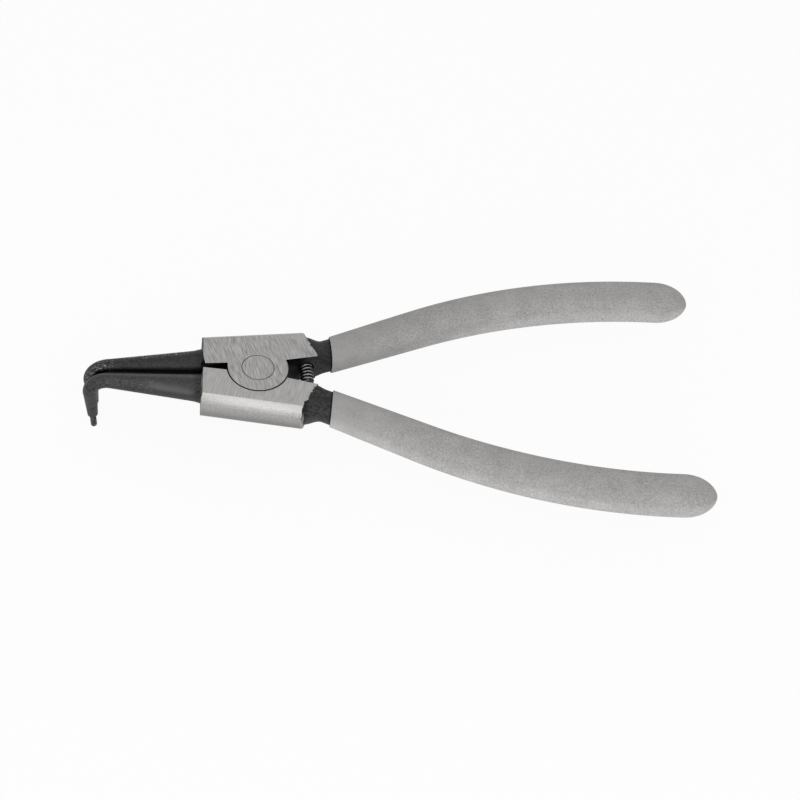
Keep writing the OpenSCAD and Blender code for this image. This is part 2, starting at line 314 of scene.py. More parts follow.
class SurfaceTree(Tree):
    """A new material's tree, with positions and pattern sizes in millimetres."""

    def __init__(self, name: str) -> None:
        """Makes the material, with an empty tree.

        Args:
            name: the material's name.
        """
        self.material = bpy.data.materials.new(name)
        self.material.use_nodes = True
        self.material.node_tree.nodes.clear()
        super().__init__(self.material.node_tree)

    @cached_property
    def place(self) -> Value:
        """Place on the piece in its own frame, in millimetres."""
        place = self.value("ShaderNodeTexCoord", output="Object")
        return self.value("ShaderNodeVectorMath", {"operation": "SCALE"}, {0: place, "Scale": 1 / MM})

    @cached_property
    def spot(self) -> tuple[Value, Value, Value]:
        """The three numbers of that place."""
        return self.axes(self.place)

    @cached_property
    def level(self) -> Value:
        """Height above the middle plane of the pliers, in millimetres."""
        return self.spot[2] - MIDDLE_Z

    def noise(
        self, size: float, detail: float = 2.0, rough: float = 0.5, place: Optional[Value] = None
    ) -> Value:
        """A soft random pattern.

        Args:
            size: width of one patch, in the units of the place.
            detail: how many finer patterns are added.
            rough: strength of those finer patterns.
            place: where it is read, if not at the place on the piece.

        Returns:
            A value near 0.5, mostly from 0.3 to 0.7.
        """
        inputs = {"Vector": place or self.place, "Scale": 1 / size, "Detail": detail, "Roughness": rough}
        return self.value("ShaderNodeTexNoise", inputs=inputs)

    def blend(self, share: Operand, first: Union[Value, Colour], second: Union[Value, Colour]) -> Value:
        """Mixes two colours.

        Args:
            share: how much of the second colour there is.
            first: colour at a share of 0.
            second: colour at a share of 1.

        Returns:
            The mixed colour.
        """
        inputs = {"Factor_Float": share, "A_Color": first, "B_Color": second}
        return self.value("ShaderNodeMix", {"data_type": "RGBA"}, inputs, output="Result_Color")

    def attribute(self, name: str) -> Value:
        """A number that is stored on the mesh."""
        return self.value("ShaderNodeAttribute", {"attribute_name": name}, output="Fac")

    def close(self, layer: "Layer", **constants: float) -> bpy.types.Material:
        """Ends the tree in one shader.

        Args:
            layer: what changes over the surface.
            constants: the shader's other sockets, named with underscores for spaces.

        Returns:
            The finished material.
        """
        height = {"Height": layer.height, "Distance": 1.0, "Strength": 1.0}
        inputs: dict[Union[str, int], Any] = {
            "Base Color": layer.colour,
            "Metallic": layer.metallic,
            "Roughness": layer.roughness,
            "Normal": self.value("ShaderNodeBump", inputs=height),
        }
        for name, constant in constants.items():
            inputs[name.replace("_", " ")] = constant
        shader = self.value("ShaderNodeBsdfPrincipled", inputs=inputs)
        self.node("ShaderNodeOutputMaterial", inputs={"Surface": shader})
        return self.material


@dataclass
class Layer:
    """What one layer of a finish feeds to the shader."""

    colour: Value
    roughness: Operand
    metallic: Operand
    height: Value


def laid_over(tree: SurfaceTree, mask: Value, under: Layer, over: Layer) -> Layer:
    """Lays one layer over another where a mask says so.

    Args:
        tree: the material's tree.
        mask: how much of the upper layer shows, from 0 to 1.
        under: the lower layer.
        over: the upper layer.

    Returns:
        The joined layer.
    """
    return Layer(
        colour=tree.blend(mask, under.colour, over.colour),
        roughness=under.roughness + mask * (over.roughness - under.roughness),
        metallic=under.metallic + mask * (over.metallic - under.metallic),
        height=under.height + mask * (over.height - under.height),
    )


@dataclass(frozen=True)
class GroundSteel:
    """Bright steel with the straight scratches of a grinding wheel, in millimetres and degrees."""

    scratch_angle: float
    dark: float = 0.185
    light: float = 0.43
    warmth: float = 0.012
    scratch_w: float = 0.32
    scratch_l: float = 4.6
    scratch_share: float = 0.6
    scratch_depth: float = 0.004
    fine_w: float = 0.15
    fine_l: float = 2.4
    speck: float = 0.34
    speck_depth: float = 0.016
    marks: Span = (0.32, 0.62)
    patch: float = 4.0
    patch_warmth: float = 0.03
    patches: Span = (0.4, 0.7)
    # Strength and share of the painted shade towards the low edge of the sides.
    low_shade: float = 0.3
    low_shade_share: float = 0.57
    rough: Span = (0.3, 0.46)

    def layer(self, tree: SurfaceTree, flat: Operand, low: Operand = 0.0) -> Layer:
        """Makes the layer.

        Args:
            tree: the material's tree.
            flat: 1 on the flat faces, which are scratched, and 0 on the sides, which are specked.
            low: 1 low on the sides, where painted shade darkens the steel.

        Returns:
            The layer.
        """
        x, y, z = tree.spot
        turn = math.radians(self.scratch_angle)
        along = x * math.cos(turn) + y * math.sin(turn)
        across = y * math.cos(turn) - x * math.sin(turn)
        broad_place = tree.vector(across / self.scratch_w, along / self.scratch_l, z)
        thin_place = tree.vector(across / self.fine_w, along / self.fine_l, z)
        broad = tree.noise(1.0, place=broad_place)
        thin = tree.noise(1.0, detail=1.0, place=thin_place)
        scratches = self.scratch_share * broad + (1.0 - self.scratch_share) * thin
        specks = tree.noise(self.speck, detail=3.0, rough=0.65)
        marks = specks + flat * (scratches - specks)
        strength = tree.step(marks, *self.marks, smooth=False)
        patches = tree.step(tree.noise(self.patch, detail=1.0), *self.patches)
        cool, warm = (
            tree.blend(strength, grey(self.dark, warmth), grey(self.light, warmth))
            for warmth in (self.warmth, self.patch_warmth)
        )
        metal = tree.blend(patches, cool, warm)
        # Painted shade: the sides are darkened towards their low edge.
        colour = tree.blend(low * self.low_shade_share, metal, grey(self.dark * self.low_shade, self.warmth))
        depth = self.speck_depth + flat * (self.scratch_depth - self.speck_depth)
        return Layer(colour, between(*self.rough, strength), 1.0, marks * depth * MM)


@dataclass(frozen=True)
class BlackOxide:
    """Forged steel under a thin black oxide, pitted and a little worn, in millimetres."""

    dark: float
    light: float
    # Black of the forging's small holes and of the painted shade in the gaps.
    pit_and_shade_black: float = 0.004
    # Grey towards which painted light makes the oxide paler.
    lit_and_darker: float = 0.085
    bare: float = 0.36
    bare_metal: float = 0.8
    pit: float = 0.7
    pit_depth: float = 0.035
    pits: Span = (0.35, 0.65)
    grain: float = 0.13
    grain_depth: float = 0.012
    hole: float = 1.0
    holes: Span = (0.36, 0.31)
    speck: float = 0.42
    speck_stretch: float = 1.9
    specks: Span = (0.53, 0.68)
    rough: Span = (0.4, 0.6)
    specular: float = 0.25

    def layer(
        self,
        tree: SurfaceTree,
        worn: Operand,
        gap_shade: Operand = 0.0,
        lit_share: Operand = 0.0,
        pitted: Operand = 0.0,
    ) -> Layer:
        """Makes the layer.

        Args:
            tree: the material's tree.
            worn: how much of the steel shows through, from 0 to 1.
            gap_shade: 1 in the gaps of the joint and between the jaws, where painted shade turns the oxide
                black.
            lit_share: 1 where painted light makes the oxide paler.
            pitted: 1 where small holes from the forging are left.

        Returns:
            The layer.
        """
        x, y, z = tree.spot
        pits = tree.noise(self.pit, detail=4.0, rough=0.55)
        grains = tree.noise(self.grain)
        holes = tree.step(tree.noise(self.hole, detail=1.0), *self.holes)
        strokes = tree.vector(x / self.speck_stretch, y, z)
        specks = tree.step(tree.noise(self.speck, detail=2.5, rough=0.6, place=strokes), *self.specks)
        show = specks * worn
        oxide = tree.blend(tree.step(pits, *self.pits), grey(self.dark), grey(self.light))
        # Painted light: paler oxide where the lit share says.
        paler = tree.blend(lit_share, oxide, grey(self.lit_and_darker))
        holed = tree.blend(holes * pitted, paler, grey(self.pit_and_shade_black))
        # Painted shade: the gaps and the space between the jaws turn black, with full metallic so that they
        # reflect little.
        colour = tree.blend(gap_shade, tree.blend(show, holed, grey(self.bare)), grey(self.pit_and_shade_black))
        metallic = tree.largest(show * self.bare_metal, gap_shade)
        height = pits * (self.pit_depth * MM) + grains * (self.grain_depth * MM)
        return Layer(colour, between(*self.rough, grains), metallic, height)


@dataclass(frozen=True)
class Seams:
    """Dark lines in the ground faces, round the rivet and round the lapped boss, in millimetres."""

    rivet_r: float = 4.3
    rivet_line: float = 0.11
    rivet_strength: float = 0.8
    rivet_faded: float = 0.45
    faded: Span = (0.5, 1.3)
    boss_line: Span = (8.03, 8.43)
    other_half: Span = (0.0, -1.0)
    soft: float = 0.04

    def round_rivet(self, tree: SurfaceTree) -> Value:
        """Says how much of the dark line round the rivet there is.

        Args:
            tree: the material's tree.

        Returns:
            The share of the line, from 0 to 1.
        """
        x, y, _ = tree.spot
        off = abs(tree.reach(x, y) - self.rivet_r)
        line = tree.step(off, self.rivet_line + self.soft, self.rivet_line - self.soft)
        faded = self.rivet_faded * tree.step((x + y) / self.rivet_r, *self.faded)
        return line * (1.0 - faded) * self.rivet_strength

    def round_boss(self, tree: SurfaceTree) -> Value:
        """Says how much of the dark line round the boss there is, on the side of the other half.

        Args:
            tree: the material's tree.

        Returns:
            The share of the line, from 0 to 1.
        """
        x, y, _ = tree.spot
        r = tree.reach(x, y)
        start, end = self.boss_line
        inside = tree.step(r, start - self.soft, start + self.soft)
        outside = tree.step(r, end + self.soft, end - self.soft)
        return inside * outside * tree.step(y * tree.math("SIGN", tree.level), *self.other_half)


@dataclass(frozen=True)
class JawWear:
    """Where the oxide of a jaw is worn and where painted highlights make it paler, in millimetres and in
    shares across the jaw.
    """

    strength: float
    crest: float
    least: float
    root: tuple[float, float] = (-14.65, 4.4)
    tip: tuple[float, float] = (-44.4, 2.15)
    root_half: float = 3.3
    tip_half: float = 1.8
    bend: Span = (-36.0, -39.5)
    bend_share: float = 0.3
    bend_inner: Span = (-0.1, -0.5)
    edge: Span = (-16.0, -24.0)
    edge_share: float = 0.9
    edge_outer: Span = (-0.1, 0.3)
    edge_z: Span = (-1.0, 0.5)
    flank_start: Span = (-15.5, -19.0)
    flank_end: Span = (-32.0, -26.0)
    flank_outer: Span = (0.0, 0.4)
    flank_z: float = 1.5
    flank_w: float = 1.3
    crest_inner: Span = (0.05, -0.5)
    pits: Span = (-28.0, -32.0)

    def across(self, tree: SurfaceTree) -> Value:
        """Works out the place across the jaw.

        Args:
            tree: the material's tree.

        Returns:
            The place, from -1 on the side of the other jaw to 1 on its outer side.
        """
        x, y, _ = tree.spot
        run = (x - self.root[0]) / (self.tip[0] - self.root[0])
        middle = between(self.root[1], self.tip[1], run)
        return (abs(y) - middle) / between(self.root_half, self.tip_half, run)

    def pitted(self, tree: SurfaceTree) -> Value:
        """Says where the forging's small holes are left: on the thin end of the jaw."""
        x, _, _ = tree.spot
        return tree.step(x, *self.pits)

    def share(self, tree: SurfaceTree) -> Value:
        """Says how worn the jaw is at a place.

        Args:
            tree: the material's tree.

        Returns:
            The wear, from 0 to 1.
        """
        x, _, _ = tree.spot
        across = self.across(tree)
        bend = between(self.bend_share, 1.0, tree.step(across, *self.bend_inner)) * tree.step(x, *self.bend)
        upper_edge = tree.step(across, *self.edge_outer) * tree.step(tree.level, *self.edge_z)
        edge = tree.step(x, *self.edge) * upper_edge
        return self.least + self.strength * tree.largest(bend, self.edge_share * edge)

    def lit_share(self, tree: SurfaceTree) -> Value:
        """Says where painted highlights make the jaw paler: a band along its outer flank and a strip along
        its inner crest.

        Args:
            tree: the material's tree.

        Returns:
            The share, from 0 to 1.
        """
        x, _, _ = tree.spot
        across = self.across(tree)
        along = tree.step(x, *self.flank_start) * tree.step(x, *self.flank_end)
        level = tree.step(abs(tree.level - self.flank_z), self.flank_w, 0.0)
        flank = along * level * tree.step(across, *self.flank_outer)
        above = tree.step(tree.level, 0.0, self.flank_w)
        return tree.largest(flank, self.crest * tree.step(across, *self.crest_inner) * above)


@dataclass(frozen=True)
class LeverFinish:
    """Finish of a lever: black forging, ground bright on the joint, in millimetres and degrees.

    Heights are shares of half the joint's thickness, from -1 on the back face to 1 on the front face.
    """

    side: Side
    ground: GroundSteel
    forging: BlackOxide
    jaw: BlackOxide
    wear: JawWear
    front_ground: bool
    front_recess: float
    ground_to: float
    inner_reach: float
    jaw_shade: float
    leg_shade: float
    # Share of painted light that makes the neck paler towards its back face.
    neck_pale: float
    tip: float
    seams: Seams = Seams()
    path: HandlePath = HandlePath()
    side_taper: float = 7.0
    face_front: float = 14.65
    nose: float = 0.35
    front_reach: float = 10.0
    front_ragged: float = 0.1
    side_reach: float = 0.58
    end_reach: float = 0.8
    inner: Span = (7.0, 4.8)
    ragged: float = 3.2
    ragged_patch: float = 2.0
    side_ragged: float = 0.1
    flat_height: Span = (0.985, 0.995)
    face_height: Span = (0.85, 0.97)
    side_height: Span = (0.95, 0.55)
    end_height: Span = (0.3, -0.1)
    back_height: Span = (-0.99, -0.95)
    # Heights over which painted shade darkens the ground sides towards their low edge.
    low_shade_height: Span = (0.35, -0.6)
    pale_height: Span = (0.5, -0.5)
    jaw_behind: Span = (-1.0, -3.0)
    joint_behind: Span = (-0.75, -0.35)
    slot_behind: Span = (1.0, 2.0)
    slot_half: Span = (2.6, 1.6)
    gap_rear: Span = (14.0, 10.5)
    jaw_gap: float = 0.5
    tip_shade: float = 0.3
    tip_soft: Span = (-0.5, 1.5)
    thick_from: float = -34.0
    leg_top: Span = (-5.0, -3.0)
    rim: tuple[float, float] = (19.8, 9.56)
    rim_lean: float = 5.0
    # Strength and reach of the painted shadow line on the neck at the grip's rim.
    rim_shade: float = 0.85
    rim_shade_w: Span = (0.6, 0.1)
    soft: float = 0.07

    @property
    def outwards(self) -> Vector:
        """Direction in which the outer side of the joint faces."""
        taper = math.radians(self.side_taper)
        return Vector((-math.sin(taper), self.side.sign * math.cos(taper), 0))

    @property
    def handle(self) -> Vector:
        """Direction in which the handle runs from the joint."""
        turn = math.radians(self.path.heading)
        return Vector((math.cos(turn), self.side.sign * math.sin(turn), 0))

    def material(self) -> bpy.types.Material:
        """Makes the material.

        Returns:
            The material.
        """
        tree = SurfaceTree(f"{self.side.value}_forged_steel")
        x, _, _ = tree.spot
        height = tree.level / HALF_T
        flat = tree.step(abs(height), *self.flat_height)
        bright = self.ground.layer(tree, flat, tree.step(height, *self.low_shade_height))
        # Painted shade in the gaps of the joint and between the jaws.
        gap_shade = self.gap_shade(tree)
        # A painted shadow line on the neck at the grip's rim joins the painted shade of the gaps.
        shaded = tree.largest(gap_shade, self.beside_rim(tree))
        # Painted light: the neck paler towards its back face.
        paler = self.neck_pale * tree.step(height, *self.pale_height)
        neck = self.forging.layer(tree, self.wear.least, shaded, paler)
        worn = self.wear.share(tree)
        # Painted highlights on the jaw's flank and crest.
        lit_share = self.wear.lit_share(tree)
        jaw = self.jaw.layer(tree, worn, gap_shade, lit_share, self.wear.pitted(tree))
        black = laid_over(tree, tree.step(x + self.face_front, *self.jaw_behind), neck, jaw)
        mask = tree.attribute("ground") * self.reached(tree)
        return tree.close(laid_over(tree, mask, black, bright), Specular_IOR_Level=self.forging.specular)

    def gap_shade(self, tree: SurfaceTree) -> Value:
        """Says where painted shade darkens the gaps of the joint and the space between the jaws.

        Args:
            tree: the material's tree.

        Returns:
            The share, from 0 to 1.
        """
        x, y, _ = tree.spot
        behind = x + self.face_front
        in_slot = tree.largest(tree.step(behind, *self.slot_behind), tree.step(abs(y), *self.slot_half))
        in_gaps = tree.step(behind, *self.joint_behind) * in_slot * tree.step(x, *self.gap_rear)
        thick = between(self.tip_shade, 1.0, tree.step(x, self.tip, self.thick_from))
        between_jaws = tree.step(abs(y), self.jaw_gap + self.jaw_shade * thick, self.jaw_gap)
        above_leg = between(self.leg_shade, 1.0, tree.step(tree.level, *self.leg_top))
        before_tip = tree.step(x - self.tip, *self.tip_soft)
        return tree.largest(in_gaps, between_jaws * above_leg * before_tip)

    def beside_rim(self, tree: SurfaceTree) -> Value:
        """Says how much painted shade darkens the neck beside the rim of the grip.

        Args:
            tree: the material's tree.

        Returns:
            The share, from 0 to 1.
        """
        x, y, _ = tree.spot
        lean = math.radians(self.rim_lean)
        rim_x, rim_y = self.rim
        before = (rim_x - x) * math.cos(lean) + (rim_y - abs(y)) * math.sin(lean)
        return self.rim_shade * tree.step(before, *self.rim_shade_w)

    def reached(self, tree: SurfaceTree) -> Value:
        """Says where the grinding wheel has reached the joint.

        Args:
            tree: the material's tree.

        Returns:
            1 where the steel is bright and 0 where the oxide is left.
        """
        x, y, _ = tree.spot
        along = x * self.handle.x + y * self.handle.y
        waves = (tree.noise(self.ragged_patch, detail=4.0, rough=0.55) - 0.5) * self.ragged
        height = tree.level / HALF_T
        on_side = tree.step(height, *self.side_height) * self.side_reach
        round_end = tree.step(height, *self.end_height) * self.end_reach
        inner = self.inner_reach * tree.step(abs(y), *self.inner)
        further = (on_side + round_end) * tree.step(height, *self.back_height) + inner
        calm = between(self.side_ragged, 1.0, tree.step(abs(height), *self.face_height))
        past = along + waves * calm - further - self.ground_to
        rear = tree.step(past, self.soft, -self.soft)
        near_gap = tree.largest(1.0 - abs(y) / self.front_reach, 0.0)
        front_line = near_gap * near_gap * self.front_recess - (self.face_front + self.nose)
        front = tree.step(x - front_line + waves * self.front_ragged, -self.soft, self.soft)
        rivet_line = self.seams.round_rivet(tree)
        boss_line = self.seams.round_boss(tree)
        return rear * front * (1.0 - tree.largest(rivet_line, boss_line))


@dataclass(frozen=True)
class RivetFinish:
    """Ground steel of the rivet's heads, with a dark line at their rims."""

    ground: GroundSteel
    forging: BlackOxide
    seams: Seams = Seams()

    def material(self) -> bpy.types.Material:
        """Makes the material.

        Returns:
            The material.
        """
        tree = SurfaceTree("bright_rivet_steel")
        bright = self.ground.layer(tree, flat=1.0)
        black = self.forging.layer(tree, worn=0.0)
        return tree.close(laid_over(tree, self.seams.round_rivet(tree), bright, black))


@dataclass(frozen=True)
class PinFinish:
    """Dark steel of the tip pins, a little worn."""

    forging: BlackOxide
    worn: float = 0.4

    def material(self) -> bpy.types.Material:
        """Makes the material.

        Returns:
            The material.
        """
        tree = SurfaceTree("dark_pin_steel")
        layer = self.forging.layer(tree, self.worn)
        return tree.close(layer, Specular_IOR_Level=self.forging.specular)


@dataclass(frozen=True)
class WireFinish:
    """Drawn spring wire with a painted highlight on the crowns of its coils and painted black shade
    elsewhere, more of it towards the lower seat, in millimetres.
    """

    dark: float = 0.16
    light: float = 0.46
    # Black of the painted shade on the wire.
    coil_shade_black: float = 0.004
    metallic: float = 0.9
    mark: float = 0.35
    mark_depth: float = 0.006
    marks: Span = (0.35, 0.65)
    rough: Span = (0.3, 0.44)
    crown: Span = (0.52, 1.0)
    front: Span = (0.3, 1.6)
    low: Span = (-1.5, -0.9)
    low_share: float = 0.3

    def material(self) -> bpy.types.Material:
        """Makes the material.

        Returns:
            The material.
        """
        tree = SurfaceTree("spring_wire")
        _, y, _ = tree.spot
        marks = tree.noise(self.mark, detail=3.0)
        share = tree.step(marks, *self.marks)
        base_tone = tree.blend(share, grey(self.dark), grey(self.light))
        # Painted highlight on the crowns away from the middle plane; painted black shade elsewhere, more of
        # it towards the lower seat.
        crown = tree.step(tree.attribute("crown"), *self.crown)
        front = tree.step(abs(tree.level), *self.front)
        clear = between(self.low_share, 1.0, tree.step(y, *self.low))
        colour = tree.blend(crown * front * clear, grey(self.coil_shade_black), base_tone)
        height = marks * (self.mark_depth * MM)
        return tree.close(Layer(colour, between(*self.rough, share), self.metallic, height))


@dataclass(frozen=True)
class DippedVinyl:
    """Grey vinyl skin with a fine sandy grain, calmer near the rim, darker near the rim of the upper grip,
    and with painted light on its underside, in millimetres.
    """

    dark: float = 0.222
    light: float = 0.464
    warmth: float = 0.02
    # Gain of the painted light on the grip's underside, and the span of facing over which it rises.
    pale: float = 1.42
    lit_under: Span = (0.25, 0.95)
    grain: float = 0.42
    grain_depth: float = 0.035
    grain_least: float = 0.4
    grain_full: Span = (22.0, 38.0)
    grains: Span = (0.3, 0.7)
    patch: float = 6.0
    patch_share: float = 0.2
    # Darkening of the upper grip near its rim.
    rim_darkening: float = 0.08
    rim_dark_run: Span = (72.0, 46.0)
    rim_dark_side: Span = (-1.0, 1.0)
    rough: Span = (0.5, 0.6)
    specular: float = 0.3

    def material(self) -> bpy.types.Material:
        """Makes the material.

        Returns:
            The material.
        """
        tree = SurfaceTree("dipped_vinyl")
        x, y, _ = tree.spot
        strength = between(self.grain_least, 1.0, tree.step(x, *self.grain_full))
        grains = (tree.noise(self.grain, rough=0.7) - 0.5) * strength + 0.5
        mottle = grains * (1.0 - self.patch_share) + tree.noise(self.patch) * self.patch_share
        share = tree.step(mottle, *self.grains, smooth=False)
        base_tone, lit_below = (
            tree.blend(share, grey(self.dark * pale, self.warmth), grey(self.light * pale, self.warmth))
            for pale in (1.0, self.pale)
        )
        # The upper grip is made a little darker near its rim.
        rim_darkening = self.rim_darkening * tree.step(x, *self.rim_dark_run) * tree.step(y, *self.rim_dark_side)
        lit_and_darker = tree.blend(rim_darkening, base_tone, grey(0.0))
        # Painted light: the grip is paler on the faces turned down and forwards.
        colour = tree.blend(tree.step(tree.attribute("underside"), *self.lit_under), lit_and_darker, lit_below)
        layer = Layer(colour, between(*self.rough, share), 0.0, grains * (self.grain_depth * MM))
        return tree.close(layer, Specular_IOR_Level=self.specular)


class ShapeTree(Tree):
    """A Geometry Nodes tree with a named input for each size."""

    def __init__(self, name: str, sizes: Mapping[str, float]) -> None:
        """Makes the tree with its inputs.

        Args:
            name: the tree's name.
            sizes: the sizes in the tree's own units, by name.
        """
        super().__init__(bpy.data.node_groups.new(name, "GeometryNodeTree"))
        self.sizes = sizes
        self.sockets = {
            size: self.tree.interface.new_socket(size, in_out="INPUT", socket_type="NodeSocketFloat")
            for size in sizes
        }
        self.tree.interface.new_socket("Geometry", in_out="OUTPUT", socket_type="NodeSocketGeometry")
        self.given = self.tree.nodes.new("NodeGroupInput")

    def size(self, name: str) -> Value:
        """One of the named sizes."""
        return Value(self, self.given.outputs[name])

    def point(self) -> tuple[Value, Value, Value]:
        """Place of each point, as three numbers."""
        return self.axes(self.value("GeometryNodeInputPosition"))

    def marked(self, shape: Value, name: str, given: Value) -> Value:
        """Stores a number on each point of a shape, under a name."""
        inputs = {"Geometry": shape, "Name": name, "Value": given}
        return self.value("GeometryNodeStoreNamedAttribute", {"data_type": "FLOAT"}, inputs)

    def moved(self, shape: Value, place: Value) -> Value:
        """Puts each point of a shape in its place."""
        return self.value("GeometryNodeSetPosition", inputs={"Geometry": shape, "Position": place})

    def close(self, shape: Value, material: bpy.types.Material) -> None:
        """Ends the tree.

        Args:
            shape: the finished geometry.
            material: what it is made of.
        """
        smooth = self.value("GeometryNodeSetShadeSmooth", inputs={"Geometry": shape})
        real = self.value("GeometryNodeRealizeInstances", inputs={"Geometry": smooth})
        dressed = self.value("GeometryNodeSetMaterial", inputs={"Geometry": real, "Material": material})
        self.node("NodeGroupOutput", inputs={"Geometry": dressed})

    def piece(self, name: str) -> bpy.types.Object:
        """Grows the tree's shape and keeps it as a plain mesh.

        Args:
            name: the piece's name.

        Returns:
            The piece, at the origin.
        """
        made = placed_object(name, bpy.data.meshes.new(name))
        grower = made.modifiers.new(self.tree.name, "NODES")
        grower.node_group = self.tree
        for size, socket in self.sockets.items():
            grower[socket.identifier] = self.sizes[size]
        return with_plain_mesh(made)


def placed_object(name: str, mesh: bpy.types.Mesh) -> bpy.types.Object:
    """Puts a mesh in the scene as an object at the origin.

    Args:
        name: the object's name.
        mesh: what it shows.

    Returns:
        The object.
    """
    made = bpy.data.objects.new(name, mesh)
    bpy.context.scene.collection.objects.link(made)
    return made


def with_plain_mesh(piece: bpy.types.Object) -> bpy.types.Object:
    """Turns what a piece's modifiers make into its plain mesh.

    Args:
        piece: the piece with its modifiers.

    Returns:
        The same piece, without modifiers.
    """
    graph = bpy.context.evaluated_depsgraph_get()
    mesh = bpy.data.meshes.new_from_object(piece.evaluated_get(graph))
    mesh.name = piece.name
    piece.modifiers.clear()
    piece.data = mesh
    return piece


def merged_copy(node: str, name: str) -> bpy.types.Object:
    """Copies a frame node with its loose triangles merged into flat and curved faces.

    Args:
        node: the frame node.
        name: the copy's name.

    Returns:
        The copy as an object of its own.
    """
    shape = bmesh.new()
    shape.from_mesh(frame["nodes"][node].data)
    bmesh.ops.remove_doubles(shape, verts=shape.verts, dist=SAME_POINT_MM * MM)
    flat = math.radians(SAME_PLANE_DEG)
    bmesh.ops.dissolve_limit(shape, angle_limit=flat, verts=shape.verts, edges=shape.edges)
    mesh = bpy.data.meshes.new(name)
    shape.to_mesh(mesh)
    shape.free()
    return placed_object(name, mesh)


def dressed_copy(node: str, name: str, edge: float, material: bpy.types.Material) -> bpy.types.Object:
    """Copies a frame node with its sharp edges broken and its curves shaded smooth.

    Args:
        node: the frame node.
        name: the copy's name.
        edge: width of the broken edges, in millimetres.
        material: what the piece is made of.

    Returns:
        The copy, with a plain mesh.
    """
    piece = merged_copy(node, name)
    piece.data.shade_smooth()
    broken = piece.modifiers.new("broken edges", "BEVEL")
    broken.width = edge * MM
    broken.segments = EDGE_SEGMENTS
    broken.limit_method = "ANGLE"
    broken.angle_limit = math.radians(SHARP_DEG)
    broken.harden_normals = True
    broken.use_clamp_overlap = True
    with_plain_mesh(piece)
    piece.data.materials.clear()
    piece.data.materials.append(material)
    return piece


def joined_to(piece: bpy.types.Object, body: str, node: str) -> bpy.types.Object:
    """Makes a piece stand for its frame node and move with a body.

    Args:
        piece: the finished piece.
        body: the body that it moves with.
        node: the frame node that it stands for.

    Returns:
        The same piece.
    """
    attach(piece, body)
    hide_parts(node)
    log.info("%s: %d faces on %s", piece.name, len(piece.data.polygons), body)
    return piece


@dataclass(frozen=True)
class Lever:
    """One forged lever with its jaw, its half of the joint and its tang, in millimetres."""

    side: Side
    finish: LeverFinish
    rear: float = 16.8
    edge: float = 0.05
    skin: float = 0.2
    side_out: float = 8.0
    face_normal: float = 0.97
    side_normal: float = 0.45
    end_normal: float = 0.9
    front_normal: float = -0.15

    def build(self) -> bpy.types.Object:
        """Builds the lever over its frame node and dresses it.

        Returns:
            The lever.
        """
        node = self.side.node("lever")
        piece = dressed_copy(node, f"{node}_forging", self.edge, self.finish.material())
        self.mark_ground(piece.data)
        return joined_to(piece, self.side.body, node)

    def mark_ground(self, mesh: bpy.types.Mesh) -> None:
        """Stores on each face whether the grinding wheel has reached it.

        Args:
            mesh: the lever's mesh.
        """
        handle, outwards = self.finish.handle, self.finish.outwards
        front = self.finish.face_front
        marks = []
        for face in mesh.polygons:
            spot = face.center / MM
            back = spot.dot(handle)
            level = abs(spot.z - MIDDLE_Z) > HALF_T - self.skin
            face_ground = level and abs(face.normal.z) > self.face_normal
            side_ground = spot.dot(outwards) > self.side_out and face.normal.dot(outwards) > self.side_normal
            rear_end = face.normal.dot(handle) > self.end_normal and back > self.rear - self.skin
            at_front = abs(spot.x + front) < 2 * self.finish.nose
            front_end = self.finish.front_ground and at_front and face.normal.x < self.front_normal
            in_joint = -front < spot.x and back < self.rear
            reached = in_joint and (face_ground or side_ground or rear_end)
            marks.append(1.0 if reached or front_end else 0.0)
        mesh.attributes.new("ground", "FLOAT", "FACE").data.foreach_set("value", marks)


@dataclass(frozen=True)
class Rivet:
    """The rivet with its two flush heads, in millimetres."""

    finish: RivetFinish
    edge: float = 0.1

    def build(self) -> bpy.types.Object:
        """Builds the rivet over its frame node and dresses it."""
        piece = dressed_copy("pivot_rivet", "flush_rivet", self.edge, self.finish.material())
        return joined_to(piece, Side.LOWER.body, "pivot_rivet")


@dataclass(frozen=True)
class TipPin:
    """One pin at the end of a bent leg, in millimetres."""

    side: Side
    finish: PinFinish
    edge: float = 0.05

    def build(self) -> bpy.types.Object:
        """Builds the pin over its frame node and dresses it.

        Returns:
            The pin.
        """
        node = self.side.node("tip_pin")
        piece = dressed_copy(node, f"{node}_steel", self.edge, self.finish.material())
        return joined_to(piece, self.side.body, node)


